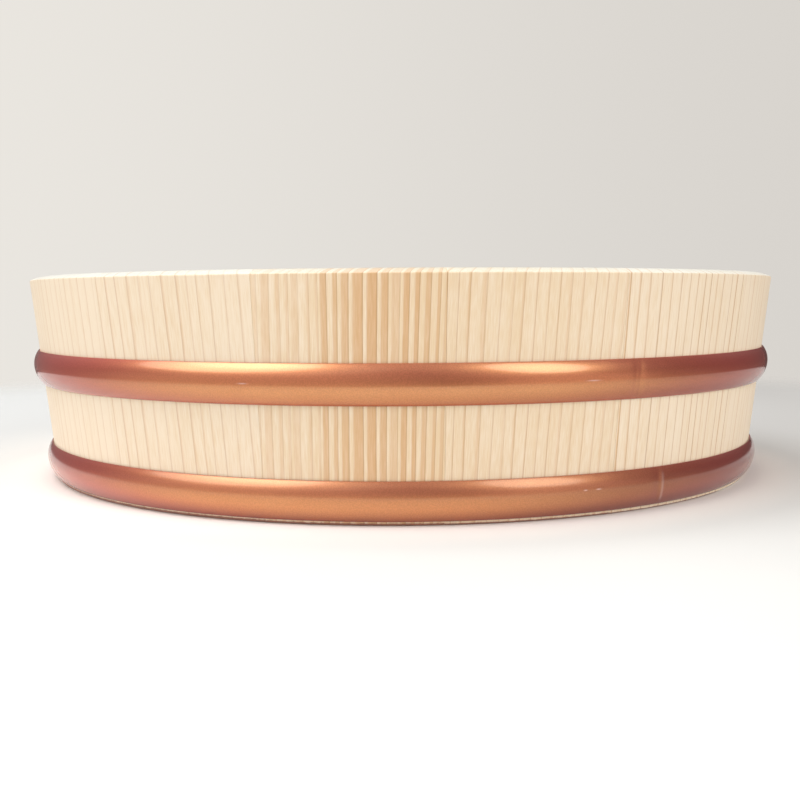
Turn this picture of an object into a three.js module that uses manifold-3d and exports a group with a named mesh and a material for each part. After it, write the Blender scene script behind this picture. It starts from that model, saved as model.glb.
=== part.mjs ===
// A coopered sushi rice tub: staves pinned edge to edge with bamboo dowels, a round bottom of planks let
// into a groove inside the staves, and two round-faced hoops driven up the taper from the foot.
// The origin is the middle of the foot on the table, +Z is up and the front is -Y.

import * as THREE from "three";
import { mergeVertices } from "three/addons/utils/BufferGeometryUtils.js";
import Module from "manifold-3d";

const wasm = await Module();
wasm.setup();

// Side wall, in millimetres. Angles are in degrees from the front, growing towards +X.
const HEIGHT = 70;
const RIM_DIAMETER = 270;
const FOOT_DIAMETER = 255;
const WALL = 11;
const RIM_CROWN = 1.4;
const FOOT_CHAMFER = 0.8;

// Staves. Each takes its share of the ring, as no two are split to the same width.
const STAVE_SHARES = [56.5, 53, 53.2, 56.8, 50, 55, 52, 48.5, 54.5, 51.5, 56, 49.5, 53.5, 52.5, 50.5, 55.2];
const FIRST_JOINT = -41.3;
const JOINT_GAP = 0.2;

// Bamboo dowels in the joints of the staves and of the planks
const DOWEL_DIAMETER = 3;
const DOWEL_LENGTH = 18;
const DOWEL_TIP = 1.5;
const DOWEL_TIP_DIAMETER = 2;
const DOWEL_CLEARANCE = 0.15;
const STAVE_DOWEL_HEIGHT = 46;
const PLANK_DOWEL_SPACING = 110;

// Bottom board, thinned to a tongue where it enters the groove
const PLANKS = 4;
const BOTTOM_RISE = 8;
const BOTTOM_THICKNESS = 12;
const TONGUE_THICKNESS = 8;
const BEVEL_WIDTH = 14;
const GROOVE_DEPTH = 3.5;
const GROOVE_CLEARANCE = 0.15;

// Hoops
const HOOP_HEIGHT = 11.7;
const HOOP_THICKNESS = 2.6;
const HOOP_FIT = 0.1;
const UPPER_HOOP_BASE = 33.1;
const LOWER_HOOP_BASE = 0.9;
const UPPER_HOOP_SEAM = 30;
const LOWER_HOOP_SEAM = 36;
const WELD_WIDTH = 2;
const WELD_RISE = 0.25;

// Fineness of the round faces
const TURNED_SIDES = 96;
const DOWEL_SIDES = 8;
const ARC_STEPS = 8;

const bottomTop = BOTTOM_RISE + BOTTOM_THICKNESS;
const tongueBase = bottomTop - TONGUE_THICKNESS;
const rimEdge = HEIGHT - RIM_CROWN;

const wood = new THREE.MeshStandardMaterial({ color: 0xeed2b2, roughness: 0.6, metalness: 0 });
const bamboo = new THREE.MeshStandardMaterial({ color: 0xdcc08a, roughness: 0.5, metalness: 0 });
const copper = new THREE.MeshStandardMaterial({ color: 0xc98a5e, roughness: 0.25, metalness: 0.9 });

// Radius of the wall's outer face at a height.
function outer(z) {
  return (FOOT_DIAMETER + ((RIM_DIAMETER - FOOT_DIAMETER) * z) / rimEdge) / 2;
}

// Radius of the wall's inner face at a height.
function inner(z) {
  return outer(z) - WALL;
}

// Radius of the back of the groove at a height.
function grooveBack(z) {
  return inner(z) + GROOVE_DEPTH;
}

// Number in a name, such as 03.
function numbered(name, index, digits) {
  return `${name}_${String(index + 1).padStart(digits, "0")}`;
}

// A closed geometry as a solid that can be joined and cut.
function solid(geometry) {
  geometry.deleteAttribute("normal");
  geometry.deleteAttribute("uv");
  const merged = mergeVertices(geometry);
  const vertProperties = merged.attributes.position.array;
  const triVerts = Uint32Array.from(merged.index.array);
  return new wasm.Manifold(new wasm.Mesh({ numProp: 3, vertProperties, triVerts }));
}

// A solid as a named mesh.
function piece(name, body, material) {
  const { vertProperties, triVerts } = body.getMesh();
  const geometry = new THREE.BufferGeometry();
  geometry.setAttribute("position", new THREE.BufferAttribute(vertProperties, 3));
  geometry.setIndex(new THREE.BufferAttribute(triVerts, 1));
  geometry.computeVertexNormals();
  return named(name, geometry, material);
}

// A mesh with the name of its piece.
function named(name, geometry, material) {
  const mesh = new THREE.Mesh(geometry, material);
  mesh.name = name;
  return mesh;
}

// A profile of [radius, height] points turned about the tub's axis.
function turned(profile) {
  const points = profile.map(([radius, z]) => new THREE.Vector2(radius, z));
  return new THREE.LatheGeometry(points, TURNED_SIDES).rotateX(Math.PI / 2);
}

// A ring turned from a profile that closes on itself.
function ring(profile) {
  return solid(turned([...profile, profile[0]]));
}

// The space between two upright planes through the axis, each moved inwards by the setback.
function wedge(from, to, setback) {
  const apexReach = setback / Math.sin((to - from) / 2);
  const away = (angle, reach) => new THREE.Vector2(Math.sin(angle) * reach, -Math.cos(angle) * reach);
  const apex = away((from + to) / 2, apexReach);
  const shape = new THREE.Shape([apex, away(from, RIM_DIAMETER).add(apex), away(to, RIM_DIAMETER).add(apex)]);
  const prism = new THREE.ExtrudeGeometry(shape, { depth: 2 * HEIGHT, bevelEnabled: false });
  return solid(prism.translate(0, 0, -HEIGHT / 2));
}

// A round pin along Y with tapered ends, grown all over by an allowance.
function pin(allowance) {
  const radius = DOWEL_DIAMETER / 2 + allowance;
  const tip = DOWEL_TIP_DIAMETER / 2 + allowance;
  const end = DOWEL_LENGTH / 2 + allowance;
  const shoulder = end - DOWEL_TIP;
  const profile = [[0, -end], [tip, -end], [radius, -shoulder], [radius, shoulder], [tip, end], [0, end]];
  return new THREE.LatheGeometry(profile.map(([r, y]) => new THREE.Vector2(r, y)), DOWEL_SIDES);
}

// The hole that a dowel at a place goes into.
function dowelHole(place) {
  return solid(pin(DOWEL_CLEARANCE).applyMatrix4(place));
}

// A dowel at its place.
function dowel(name, place) {
  const mesh = named(name, pin(0), bamboo);
  mesh.applyMatrix4(place);
  return mesh;
}

// Outline of the wall's section: up the outside from the foot, over the rim and down past the groove.
function wallProfile() {
  const profile = [[outer(0) - FOOT_CHAMFER, 0], [outer(FOOT_CHAMFER), FOOT_CHAMFER]];
  for (let step = 0; step <= ARC_STEPS; step++) {
    const across = (2 * step) / ARC_STEPS - 1;
    profile.push([outer(rimEdge) - (WALL * (1 + across)) / 2, HEIGHT - RIM_CROWN * across ** 2]);
  }
  const grooveTop = bottomTop + GROOVE_CLEARANCE;
  const grooveBase = tongueBase - GROOVE_CLEARANCE;
  profile.push([inner(grooveTop), grooveTop], [grooveBack(grooveTop), grooveTop]);
  profile.push([grooveBack(grooveBase), grooveBase], [inner(grooveBase), grooveBase]);
  profile.push([inner(FOOT_CHAMFER), FOOT_CHAMFER], [inner(0) + FOOT_CHAMFER, 0]);
  return profile;
}

// Angles of the joints round the ring, with the first one again at the end.
function jointAngles() {
  const whole = STAVE_SHARES.reduce((sum, share) => sum + share, 0);
  const angles = [THREE.MathUtils.degToRad(FIRST_JOINT)];
  for (const share of STAVE_SHARES) {
    angles.push(angles.at(-1) + (2 * Math.PI * share) / whole);
  }
  return angles;
}

// Place of the dowel in a joint between two staves: in the middle of the wall, square to the joint.
function staveDowelPlace(angle) {
  const radius = outer(STAVE_DOWEL_HEIGHT) - WALL / 2;
  const turn = new THREE.Matrix4().makeRotationZ(angle - Math.PI / 2);
  return turn.setPosition(Math.sin(angle) * radius, -Math.cos(angle) * radius, STAVE_DOWEL_HEIGHT);
}

// The ring of staves with the dowels in their joints.
function side() {
  const group = new THREE.Group();
  const wall = ring(wallProfile());
  const angles = jointAngles();
  STAVE_SHARES.forEach((share, index) => {
    const [from, to] = [angles[index], angles[index + 1]];
    const blank = wall.intersect(wedge(from, to, JOINT_GAP / 2));
    const stave = blank.subtract(dowelHole(staveDowelPlace(from))).subtract(dowelHole(staveDowelPlace(to)));
    group.add(piece(numbered("stave", index, 2), stave, wood));
    group.add(dowel(numbered("stave_dowel", index, 2), staveDowelPlace(from)));
  });
  return group;
}

// The round bottom board before it is parted into planks.
function bottomBoard() {
  const mouth = inner(tongueBase) - GROOVE_CLEARANCE;
  const profile = [
    [0, BOTTOM_RISE],
    [mouth - BEVEL_WIDTH, BOTTOM_RISE],
    [mouth, tongueBase],
    [grooveBack(tongueBase) - GROOVE_CLEARANCE, tongueBase],
    [grooveBack(bottomTop) - GROOVE_CLEARANCE, bottomTop],
    [0, bottomTop],
  ];
  return solid(turned(profile));
}

// The planks of the bottom, from the front to the back, with two dowels in each joint.
function bottom() {
  const group = new THREE.Group();
  const board = bottomBoard();
  const across = 2 * grooveBack(bottomTop);
  const plankWidth = across / PLANKS;
  const height = BOTTOM_RISE + BOTTOM_THICKNESS / 2;
  const places = [];
  for (let joint = 1; joint < PLANKS; joint++) {
    for (const x of [-PLANK_DOWEL_SPACING / 2, PLANK_DOWEL_SPACING / 2]) {
      places.push(new THREE.Matrix4().setPosition(x, joint * plankWidth - across / 2, height));
    }
  }
  for (let index = 0; index < PLANKS; index++) {
    const strip = new THREE.BoxGeometry(across, plankWidth - JOINT_GAP, 2 * BOTTOM_THICKNESS);
    const blank = board.intersect(solid(strip.translate(0, (index + 0.5) * plankWidth - across / 2, height)));
    const plank = places.reduce((body, place) => body.subtract(dowelHole(place)), blank);
    group.add(piece(numbered("bottom_plank", index, 1), plank, wood));
  }
  places.forEach((place, index) => group.add(dowel(numbered("bottom_dowel", index, 1), place)));
  return group;
}

// Section of a hoop: a flat back along the wall and a face that is an arc of a circle.
function hoopSection(base, thickness) {
  const half = HOOP_HEIGHT / 2;
  const arcRadius = (half ** 2 + thickness ** 2) / (2 * thickness);
  const reach = 2 * Math.atan(thickness / half);
  const section = [];
  for (let step = 0; step <= ARC_STEPS; step++) {
    const turn = reach * ((2 * step) / ARC_STEPS - 1);
    const z = base + half + arcRadius * Math.sin(turn);
    section.push([outer(z) + HOOP_FIT + thickness - arcRadius * (1 - Math.cos(turn)), z]);
  }
  return section;
}

// A hoop with the bead of its weld standing a little proud.
function hoop(name, base, seam) {
  const middle = THREE.MathUtils.degToRad(seam);
  const half = WELD_WIDTH / outer(base) / 2;
  const band = ring(hoopSection(base, HOOP_THICKNESS));
  const collar = ring(hoopSection(base, HOOP_THICKNESS + WELD_RISE));
  const bead = collar.intersect(wedge(middle - half, middle + half, 0));
  return piece(name, band.add(bead), copper);
}

const tub = new THREE.Group();
tub.add(side());
tub.add(bottom());
tub.add(hoop("upper_hoop", UPPER_HOOP_BASE, UPPER_HOOP_SEAM));
tub.add(hoop("lower_hoop", LOWER_HOOP_BASE, LOWER_HOOP_SEAM));

export default tub;
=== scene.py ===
"""A coopered sushi rice tub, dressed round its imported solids.

The staves, the planks of the bottom and the hoops are made again with eased edges and with grain that runs
through each board, and stand for their solids. The bamboo dowels keep their solids. Lengths are in metres.
The origin is the middle of the foot on the table, +Z is up and the front is -Y. Angles round the tub start
at the front and grow towards +X.
"""

from __future__ import annotations

import logging
import math
import random
from collections.abc import Callable, Mapping, Sequence
from dataclasses import dataclass, field
from enum import Enum
from typing import ClassVar, Union

import bmesh
import bpy
import numpy as np
from mathutils import Matrix, Vector


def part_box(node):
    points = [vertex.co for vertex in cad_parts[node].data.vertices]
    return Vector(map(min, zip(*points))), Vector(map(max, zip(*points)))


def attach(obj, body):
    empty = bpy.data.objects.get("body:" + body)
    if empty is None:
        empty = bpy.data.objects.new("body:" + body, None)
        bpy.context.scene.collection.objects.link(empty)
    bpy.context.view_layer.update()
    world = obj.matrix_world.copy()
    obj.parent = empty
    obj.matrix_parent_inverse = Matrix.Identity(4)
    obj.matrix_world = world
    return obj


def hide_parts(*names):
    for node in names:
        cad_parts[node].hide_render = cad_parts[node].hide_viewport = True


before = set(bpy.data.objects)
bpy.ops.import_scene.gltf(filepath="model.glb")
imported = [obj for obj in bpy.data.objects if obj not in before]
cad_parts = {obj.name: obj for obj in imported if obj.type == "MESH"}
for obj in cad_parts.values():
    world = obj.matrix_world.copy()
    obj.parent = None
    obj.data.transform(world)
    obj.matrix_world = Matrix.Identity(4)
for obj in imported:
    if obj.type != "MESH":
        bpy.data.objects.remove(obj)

LOG = logging.getLogger("rice_tub")
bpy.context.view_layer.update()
BODY = "root"
# How far the hoops' welds lean aside for each unit that the hoop's face stands out.
SEAM_SKEW = 0.62
Colour = tuple[float, float, float, float]
Span = tuple[float, float]
Operand = Union["Value", float]
Paint = Union["Value", Colour]


class Slot(Enum):
    """Names of the material slots for wood and hoops."""

    WOOD = "wood"
    HOOP = "hoop"


class Falls(Enum):
    """What a light falls on."""

    EVERYTHING = "everything"
    UNMIRRORED = "everything, but gloss doesn't mirror it"
    GLOSS = "gloss alone"


def arithmetic(operation: str, reflected: bool = False) -> Callable[[Value, Operand], Value]:
    """Make an operator for values.

    Args:
        operation: what the Math node does.
        reflected: whether the value is the second operand.

    Returns:
        The method that adds the node.
    """

    def method(self: Value, other: Operand) -> Value:
        """Return the result of the operation on the value and another operand."""
        return self.math(operation, *((other, self) if reflected else (self, other)))

    return method


class Value:
    """A socket of a node tree, with Python's arithmetic for numbers."""

    __add__, __radd__ = arithmetic("ADD"), arithmetic("ADD", reflected=True)
    __sub__, __rsub__ = arithmetic("SUBTRACT"), arithmetic("SUBTRACT", reflected=True)
    __mul__, __rmul__ = arithmetic("MULTIPLY"), arithmetic("MULTIPLY", reflected=True)
    __truediv__, __rtruediv__ = arithmetic("DIVIDE"), arithmetic("DIVIDE", reflected=True)
    __pow__ = arithmetic("POWER")

    def __init__(self, nodes: Nodes, socket: bpy.types.NodeSocket) -> None:
        """Keep the socket and the tree that it belongs to."""
        self.nodes = nodes
        self.socket = socket

    def math(self, operation: str, *operands: Operand) -> Value:
        """Return the result of a Math node on these operands."""
        return self.nodes.node("ShaderNodeMath", {"operation": operation}, dict(enumerate(operands)))

    def __neg__(self) -> Value:
        """Return the value with its sign turned."""
        return self.math("MULTIPLY", self, -1.0)

    def sin(self) -> Value:
        """Return the sine of an angle."""
        return self.math("SINE", self)

    def cos(self) -> Value:
        """Return the cosine of an angle."""
        return self.math("COSINE", self)

    def floor(self) -> Value:
        """Return the whole number below."""
        return self.math("FLOOR", self)

    def fraction(self) -> Value:
        """Return what is above the whole number below."""
        return self.math("FRACT", self)

    def hypot(self, other: Value) -> Value:
        """Return the distance that this number and another make at right angles."""
        return (self**2.0 + other**2.0) ** 0.5

    def azimuth(self, y: Value) -> Value:
        """Return the angle round the tub of the place with this X and a Y."""
        return self.math("ARCTAN2", self, -y)

    def bell(self, width: float) -> Value:
        """Return a bell curve of this value, 1 at zero and falling over the width."""
        return self.math("EXPONENT", -((self / width) ** 2))

    def step(self, low: Operand, high: Operand) -> Value:
        """Return 0 below low, 1 above high and an eased rise between them."""
        inputs = {"Value": self, "From Min": low, "From Max": high}
        return self.nodes.node("ShaderNodeMapRange", {"interpolation_type": "SMOOTHSTEP"}, inputs)

    def dot(self, way: tuple[float, float, float]) -> Value:
        """Return how far this vector goes along a direction."""
        settings = {"operation": "DOT_PRODUCT"}
        return self.nodes.node("ShaderNodeVectorMath", settings, {0: self, 1: way}, "Value")

    def parts(self) -> tuple[Value, Value, Value]:
        """Return the three numbers of a vector."""
        x = self.nodes.node("ShaderNodeSeparateXYZ", inputs={0: self})
        return x, x.other("Y"), x.other("Z")

    def other(self, name: str) -> Value:
        """Return another output of the same node."""
        return Value(self.nodes, self.socket.node.outputs[name])


class Nodes:
    """Adds nodes to one tree and links them."""

    def __init__(self, tree: bpy.types.NodeTree) -> None:
        """Keep the tree that the nodes go into."""
        self.tree = tree

    def node(
        self,
        kind: str,
        settings: Mapping[str, object] | None = None,
        inputs: Mapping[int | str, object] | None = None,
        output: int | str = 0,
    ) -> Value:
        """Add a node.

        Args:
            kind: Blender's name for the type of node.
            settings: its properties, set before its sockets. "choices" is how many an Index Switch has.
            inputs: for each socket, by name or number, a number, a link or a list of links.
            output: the output to hand back, by name or number.

        Returns:
            That output.
        """
        node = self.tree.nodes.new(kind)
        for name, setting in (settings or {}).items():
            if name == "choices":
                while len(node.index_switch_items) < setting:
                    node.index_switch_items.new()
            else:
                setattr(node, name, setting)
        for key, given in (inputs or {}).items():
            for item in given if isinstance(given, list) else [given]:
                if isinstance(item, Value):
                    self.tree.links.new(item.socket, node.inputs[key])
                else:
                    node.inputs[key].default_value = item
        return Value(self, node.outputs[output])

    def end(self, kind: str, result: Value, socket: str = "Surface") -> None:
        """End the tree in an output node of a kind."""
        self.tree.links.new(result.socket, self.tree.nodes.new(kind).inputs[socket])

    def vector(self, x: Operand, y: Operand, z: Operand) -> Value:
        """Return three numbers as a vector."""
        return self.node("ShaderNodeCombineXYZ", inputs={0: x, 1: y, 2: z})

    def mix(self, share: Operand, first: Paint, second: Paint, blend: str = "MIX") -> Value:
        """Return the colour that blending this share of the second into the first gives."""
        settings = {"data_type": "RGBA", "blend_type": blend}
        return self.node("ShaderNodeMix", settings, {0: share, 6: first, 7: second}, 2)

    def tint(self, colour: Paint, other: Paint, share: Operand = 1.0) -> Value:
        """Return a colour multiplied by this share of another."""
        return self.mix(share, colour, other, "MULTIPLY")

    def noise(self, place: Value, scale: float, detail: float = 2.0) -> Value:
        """Return smooth noise from 0 to 1 at a place."""
        return self.node("ShaderNodeTexNoise", inputs={"Vector": place, "Scale": scale, "Detail": detail})


class Surface(Nodes):
    """The nodes of a new material."""

    def __init__(self, name: str) -> None:
        """Start an empty material.

        Args:
            name: its name.
        """
        self.material = bpy.data.materials.new(name)
        self.material.use_nodes = True
        self.material.node_tree.nodes.clear()
        super().__init__(self.material.node_tree)

    def place(self) -> Value:
        """Return the place on the object."""
        return self.node("ShaderNodeTexCoord", output="Object")

    def attribute(self, name: str, output: str = "Vector") -> Value:
        """Return an attribute of the mesh."""
        return self.node("ShaderNodeAttribute", {"attribute_name": name}, output=output)

    def principled(self, inputs: Mapping[int | str, object]) -> Value:
        """Return a Principled shader with these inputs."""
        return self.node("ShaderNodeBsdfPrincipled", inputs=inputs)

    def blended(self, share: Operand, first: Value, second: Value) -> Value:
        """Return the shader that lies this share of the way from the first to the second."""
        return self.node("ShaderNodeMixShader", inputs={0: share, 1: first, 2: second})

    def finished(self, shader: Value) -> bpy.types.Material:
        """Return the material, ended in a shader."""
        self.end("ShaderNodeOutputMaterial", shader)
        return self.material


class Shaper(Nodes):
    """A Geometry Nodes tree with named sizes, which leaves plain meshes."""

    same_place: ClassVar[float] = 0.000004
    edge_angle: ClassVar[float] = math.radians(40)
    crease_angle: ClassVar[float] = math.radians(25)
    hole_sides: ClassVar[int] = 16

    def __init__(self, name: str, sizes: Sequence[str]) -> None:
        """Start the tree.

        Args:
            name: the tree's name.
            sizes: the names of the sizes that it takes.
        """
        super().__init__(bpy.data.node_groups.new(name, "GeometryNodeTree"))
        self.tree.interface.new_socket("Mesh", in_out="OUTPUT", socket_type="NodeSocketGeometry")
        self.identifiers: dict[str, str] = {}
        for size in sizes:
            socket = self.tree.interface.new_socket(size, in_out="INPUT", socket_type="NodeSocketFloat")
            self.identifiers[size] = socket.identifier
        self.entry = self.tree.nodes.new("NodeGroupInput")

    def size(self, name: str) -> Value:
        """Return one of the tree's sizes."""
        return Value(self, self.entry.outputs[name])

    def choose(self, kind: str, choices: Sequence[Operand]) -> Value:
        """Choose by the index of the point.

        Args:
            kind: Blender's name for the type of the choices.
            choices: one for each point.

        Returns:
            The choice whose number is the point's index.
        """
        index = self.node("GeometryNodeInputIndex")
        settings = {"data_type": kind, "choices": len(choices)}
        return self.node("GeometryNodeIndexSwitch", settings, {0: index} | dict(enumerate(choices, 1)))

    def loop(self, count: int, place: Value) -> Value:
        """Draw a closed curve through points.

        Args:
            count: the number of points.
            place: where each point is, from its index.

        Returns:
            The curve.
        """
        points = self.node("GeometryNodePoints", inputs={"Count": count, "Position": place})
        curve = self.node("GeometryNodePointsToCurves", inputs={"Points": points})
        straight = self.node("GeometryNodeCurveSplineType", {"spline_type": "POLY"}, {"Curve": curve})
        return self.node("GeometryNodeSetSplineCyclic", inputs={"Geometry": straight, "Cyclic": True})

    def rounded(self, curve: Value, radius: Value, count: int) -> Value:
        """Return a curve with its corners rounded to a radius by a count of points."""
        inputs = {"Curve": curve, "Count": count, "Radius": radius, "Limit Radius": True}
        return self.node("GeometryNodeFilletCurve", {"mode": "POLY"}, inputs)

    def around(self, radius: Value, angle: Value, height: Operand) -> Value:
        """Return the place at a radius, an angle round the tub and a height."""
        return self.vector(radius * angle.sin(), -(radius * angle.cos()), height)

    def moved(self, shape: Value, place: Value, **more: Value) -> Value:
        """Return a shape moved to a place, with more of what a Transform node takes."""
        return self.node("GeometryNodeTransform", inputs={"Geometry": shape, "Translation": place} | more)

    def hole(self, place: Value, turn: Operand = 0.0) -> Value:
        """Shape the hole for a dowel, by the sizes Hole Radius and Hole Length.

        Args:
            place: the hole's middle.
            turn: how far it is turned about Z from lying along Y.

        Returns:
            The hole as a solid.
        """
        radius, length = map(self.size, ("Hole Radius", "Hole Length"))
        inputs = {"Vertices": self.hole_sides, "Radius": radius, "Depth": length}
        hole = self.node("GeometryNodeMeshCylinder", inputs=inputs)
        return self.moved(hole, place, Rotation=self.vector(math.pi / 2, 0.0, turn))

    def combined(self, operation: str, solids: list[Value]) -> Value:
        """Return solids joined, or what they share."""
        settings = {"operation": operation, "solver": "EXACT"}
        return self.node("GeometryNodeMeshBoolean", settings, {"Mesh 2": solids})

    def drilled(self, blank: Value, holes: list[Value]) -> Value:
        """Return a blank with holes cut from it."""
        settings = {"operation": "DIFFERENCE", "solver": "EXACT"}
        return self.node("GeometryNodeMeshBoolean", settings, {"Mesh 1": blank, "Mesh 2": holes})

    def close(self, shape: Value, material: bpy.types.Material) -> None:
        """End the tree.

        Args:
            shape: the shape that it makes.
            material: the material of the shape.
        """
        real = self.node("GeometryNodeRealizeInstances", inputs={"Geometry": shape})
        dressed = self.node("GeometryNodeSetMaterial", inputs={"Geometry": real, "Material": material})
        self.end("NodeGroupOutput", dressed, "Mesh")

    def clean(self, mesh: bpy.types.Mesh) -> None:
        """Merge points that share a place, which leaves no face without area.

        Args:
            mesh: the mesh to clean.
        """
        solid = bmesh.new()
        solid.from_mesh(mesh)
        bmesh.ops.remove_doubles(solid, verts=solid.verts, dist=self.same_place)
        bmesh.ops.dissolve_degenerate(solid, edges=solid.edges, dist=self.same_place)
        solid.to_mesh(mesh)
        solid.free()

    def make(self, name: str, sizes: Mapping[str, float], eased: float = 0.0) -> bpy.types.Object:
        """Make one piece as a plain mesh.

        Args:
            name: the name of the piece.
            sizes: a value for each of the tree's sizes.
            eased: width of the small bevel along its sharp edges.

        Returns:
            The piece, at the origin.
        """
        blank = bpy.data.meshes.new(name)
        piece = in_scene(name, blank)
        shaping = piece.modifiers.new("shape", "NODES")
        shaping.node_group = self.tree
        for size, value in sizes.items():
            shaping[self.identifiers[size]] = float(value)
        if eased:
            bevel = piece.modifiers.new("eased edges", "BEVEL")
            bevel.width = eased
            bevel.segments = 1
            bevel.limit_method = "ANGLE"
            bevel.angle_limit = self.edge_angle
        graph = bpy.context.evaluated_depsgraph_get()
        mesh = bpy.data.meshes.new_from_object(piece.evaluated_get(graph))
        piece.modifiers.clear()
        piece.data = mesh
        bpy.data.meshes.remove(blank)
        mesh.name = name
        self.clean(mesh)
        mesh.shade_smooth()
        mesh.set_sharp_from_angle(angle=self.crease_angle)
        return piece


@dataclass(frozen=True)
class WoodFinish:
    """Bare planed softwood, whose rings and fibres run through each board.

    Scales are of noise. Shades, covers and swings are shares, and a year runs from 0 to 1.
    """

    early: Colour = (0.93, 0.79, 0.615, 1.0)
    late: Colour = (0.74, 0.455, 0.23, 1.0)
    line: Colour = (0.50, 0.31, 0.18, 1.0)
    # end_grain_and_sheen is partly the end grain's own colour and partly a painted sheen: the lit rim is
    # made paler and cooler than the wood.
    end_grain_and_sheen: Colour = (0.80, 0.815, 0.765, 1.0)
    # foot_shade is painted shade: the foot of the staves darkens where the contact shadow under the lower
    # hoop falls.
    foot_shade: Colour = (0.30, 0.125, 0.09, 1.0)
    pale: Colour = (1.0, 1.0, 1.0, 1.0)
    dark: Colour = (0.90, 0.82, 0.69, 1.0)
    wander: float = 0.0016
    wander_scale: float = 90.0
    wander_stretch: float = 0.12
    pace_step: float = 0.17
    pace_swing: float = 1.3
    late_least: float = 0.3
    late_swing: float = 1.4
    late_before: float = 0.12
    late_after: float = 0.08
    line_span: Span = (0.84, 0.96)
    year_end: Span = (0.97, 1.0)
    faintest: float = 0.4
    end_fade: float = 0.45
    late_cover: float = 0.85
    line_cover: float = 0.6
    fibre_scale: float = 3000.0
    streak_scale: float = 700.0
    cloud_scale: float = 35.0
    fibre_stretch: float = 0.07
    fibre_shade: float = 1.2
    streak_shade: float = 0.6
    cloud_shade: float = 0.6
    # How the painted shade at the foot wavers, how soft its top edge is, how much it covers, and how much
    # less it covers on the end grain.
    foot_shade_waver: float = 0.0004
    foot_shade_edge: float = 0.0003
    foot_shade_cover: float = 0.9
    foot_shade_loss: float = 0.8
    level_end: Span = (0.9, 1.0)
    fibre_rise: float = 0.6
    streak_rise: float = 0.4
    late_dip: float = 0.3
    relief: float = 0.25
    relief_depth: float = 0.00008
    roughness: float = 0.55
    fibre_roughness: float = 0.2
    late_polish: float = 0.08
    end_polish: float = 0.18
    gloss: float = 0.35

    def growth(self, nodes: Surface, place: Value, seed: Value, end: Value) -> tuple[Value, Value]:
        """Grow the rings.

        Args:
            nodes: the nodes of the material.
            place: the place in the log, drawn out along the board.
            seed: what the board's chances are picked by.
            end: how much of the end grain shows.

        Returns:
            How much of the late wood shows, and how much of the dark line at the end of the year.
        """
        across, deep, _ = place.parts()
        rings, late, strength = nodes.attribute("rings").parts()
        wander = nodes.noise(place, self.wander_scale, 1.0) - 0.5
        years = (across.hypot(deep) + wander * self.wander) * rings
        settings = {"noise_dimensions": "1D"}
        inputs = {"W": years * self.pace_step + seed, "Scale": 1.0}
        year = years + (nodes.node("ShaderNodeTexNoise", settings, inputs) - 0.5) * self.pace_swing
        age = year.fraction()
        chance = nodes.node("ShaderNodeTexWhiteNoise", settings, {"W": year.floor() + seed}, "Color")
        width_chance, dark_chance, _ = chance.parts()
        start = 1.0 - late * (self.late_least + width_chance * self.late_swing)
        depth = (1.0 - age.step(*self.year_end)) * (self.faintest + dark_chance * (1.0 - self.faintest))
        depth = depth * strength * (1.0 - end * self.end_fade)
        ring = age.step(start - self.late_before, start + self.late_after) * depth
        return ring, age.step(*self.line_span) * depth

    def material(self) -> bpy.types.Material:
        """Mix the material, which reads the attributes that Board.lay writes.

        Returns:
            The material.
        """
        nodes = Surface("planed softwood")
        across, deep, along = nodes.attribute("grain").parts()
        tone, seed, end = nodes.attribute("board").parts()
        place = nodes.vector(across, deep, along * self.wander_stretch + seed)
        ring, line = self.growth(nodes, place, seed, end)
        fine = nodes.vector(across, deep, along * self.fibre_stretch + seed)
        fibre = nodes.noise(fine, self.fibre_scale)
        streak = nodes.noise(fine, self.streak_scale)
        cloud = nodes.noise(place, self.cloud_scale)
        shade = tone + (cloud - 0.5) * self.cloud_shade + (streak - 0.5) * self.streak_shade
        shade = shade + (fibre - 0.5) * self.fibre_shade + 0.5
        # Paler end grain, partly a painted sheen on the lit rim.
        colour = nodes.mix(end, self.early, self.end_grain_and_sheen)
        colour = nodes.mix(ring * self.late_cover, colour, self.late)
        colour = nodes.mix(line * self.line_cover, colour, self.line)
        colour = nodes.tint(colour, nodes.mix(shade.step(0.0, 1.0), self.pale, self.dark))
        # Painted shade at the foot, up to each board's height: the contact shadow under the lower hoop.
        foot = nodes.attribute("foot", "Fac") + (streak - 0.5) * self.foot_shade_waver
        cover = self.foot_shade_cover - end.step(*self.level_end) * self.foot_shade_loss
        colour = nodes.mix(foot.step(0.0, self.foot_shade_edge) * cover, colour, self.foot_shade)
        height = fibre * self.fibre_rise + streak * self.streak_rise - ring * self.late_dip
        relief = {"Strength": self.relief, "Distance": self.relief_depth, "Height": height}
        rough = self.roughness + (fibre - 0.5) * self.fibre_roughness
        inputs = {
            "Base Color": colour,
            "Roughness": rough - ring * self.late_polish - end * self.end_polish,
            "Specular IOR Level": self.gloss,
            "Normal": nodes.node("ShaderNodeBump", inputs=relief),
        }
        return nodes.finished(nodes.principled(inputs))


@dataclass(frozen=True)
class BambooFinish:
    """Split and shaved bamboo with its dark fibre bundles."""

    flesh: Colour = (0.70, 0.52, 0.27, 1.0)
    bundle: Colour = (0.42, 0.25, 0.09, 1.0)
    bundle_scale: float = 2200.0
    bundle_span: Span = (0.55, 0.7)
    roughness: float = 0.45
    bundle_roughness: float = 0.2

    def material(self) -> bpy.types.Material:
        """Mix the material.

        Returns:
            The material.
        """
        nodes = Surface("shaved bamboo")
        bundles = nodes.noise(nodes.place(), self.bundle_scale, 3.0).step(*self.bundle_span)
        inputs = {
            "Base Color": nodes.mix(bundles, self.flesh, self.bundle),
            "Roughness": self.roughness + bundles * self.bundle_roughness,
        }
        return nodes.finished(nodes.principled(inputs))


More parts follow.
